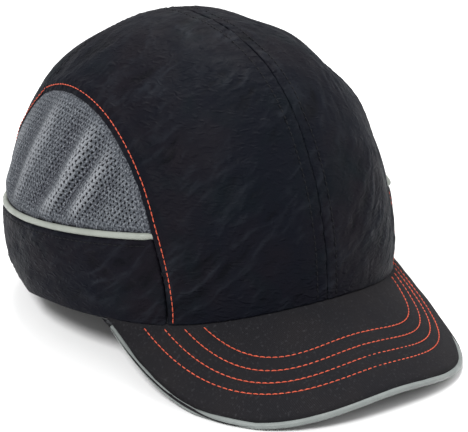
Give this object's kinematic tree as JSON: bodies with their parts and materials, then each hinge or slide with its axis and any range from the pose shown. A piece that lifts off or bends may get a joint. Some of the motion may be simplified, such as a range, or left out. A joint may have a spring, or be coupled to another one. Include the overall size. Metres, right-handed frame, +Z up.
{
  "type": "bump cap",
  "caption": "Baseball-style bump cap: fabric crown with mesh sides and piping over a vented protective shell, stitched curved brim, and a hook-and-loop strap at the back.",
  "frame": {"origin": "middle of the crown in plan, on the surface that the brim and the rear edge rest on, at the centre of the head opening", "axes": "+Z up; the wearer faces -Y; +X is towards the wearer's left"},
  "size_m": [0.1948, 0.284, 0.154],
  "materials": {
    "crown_cloth": "crinkled nylon plain weave, matt with a slight sheen",
    "mesh_cloth": "open sports mesh, matt",
    "reflective_piping": "retroreflective cloth, satin",
    "brim_piping_cloth": "retroreflective cloth, satin",
    "coloured_thread": "twisted polyester thread",
    "black_thread": "twisted polyester thread",
    "brim_cloth": "fine canvas weave, matt",
    "brim_stiffener": "moulded sheet, matt",
    "lining_tape": "woven tape, matt",
    "sweatband_cloth": "brushed terry, matt",
    "binding_cloth": "folded binding tape, matt",
    "webbing": "woven strap, matt",
    "hook_and_loop": "hook and loop pile, matt",
    "shell_plastic": "moulded polyethylene, fine grain",
    "shell_trim": "soft moulded edge, matt",
    "pad_foam": "brushed cloth over closed-cell foam"
  },
  "bodies": {
    "cap": {"front_panel_right": "crown_cloth", "front_panel_left": "crown_cloth", "rear_panel_right": "crown_cloth", "rear_panel_left": "crown_cloth", "mesh_panel_right": "mesh_cloth", "mesh_panel_left": "mesh_cloth", "side_band_right": "crown_cloth", "side_band_left": "crown_cloth", "side_piping_right": "reflective_piping", "side_piping_left": "reflective_piping", "side_seam_thread_right": "coloured_thread", "side_seam_thread_left": "coloured_thread", "centre_seam_thread": "black_thread", "cross_seam_thread": "black_thread", "band_topstitch_right": "black_thread", "band_topstitch_left": "black_thread", "seam_tape_centre": "lining_tape", "seam_tape_cross": "lining_tape", "brim_board": "brim_stiffener", "brim_top_cover": "brim_cloth", "brim_under_cover": "brim_cloth", "brim_piping": "brim_piping_cloth", "brim_thread_rows": "coloured_thread", "sweatband": "sweatband_cloth", "opening_binding": "binding_cloth", "strap_anchor": "webbing", "loop_strap": "webbing", "loop_pad": "hook_and_loop", "strap_thread": "black_thread", "bump_shell_crown": "shell_plastic", "bump_shell_front": "shell_plastic", "bump_shell_rear": "shell_plastic", "bump_shell_right": "shell_plastic", "bump_shell_left": "shell_plastic", "shell_edge_trim": "shell_trim", "crown_pad": "pad_foam", "front_pad": "pad_foam", "rear_pad": "pad_foam", "side_pad_right": "pad_foam", "side_pad_left": "pad_foam"},
    "strap": {"hook_strap": "webbing", "hook_pad": "hook_and_loop"}
  },
  "joints": [
    {"name": "strap_peel", "type": "hinge", "parent": "cap", "child": "strap", "pos_m": [0.036, 0.0978, 0.013], "axis": [-0.1278, -0.3485, -0.9286], "range_deg": [0, 100]}
  ]
}
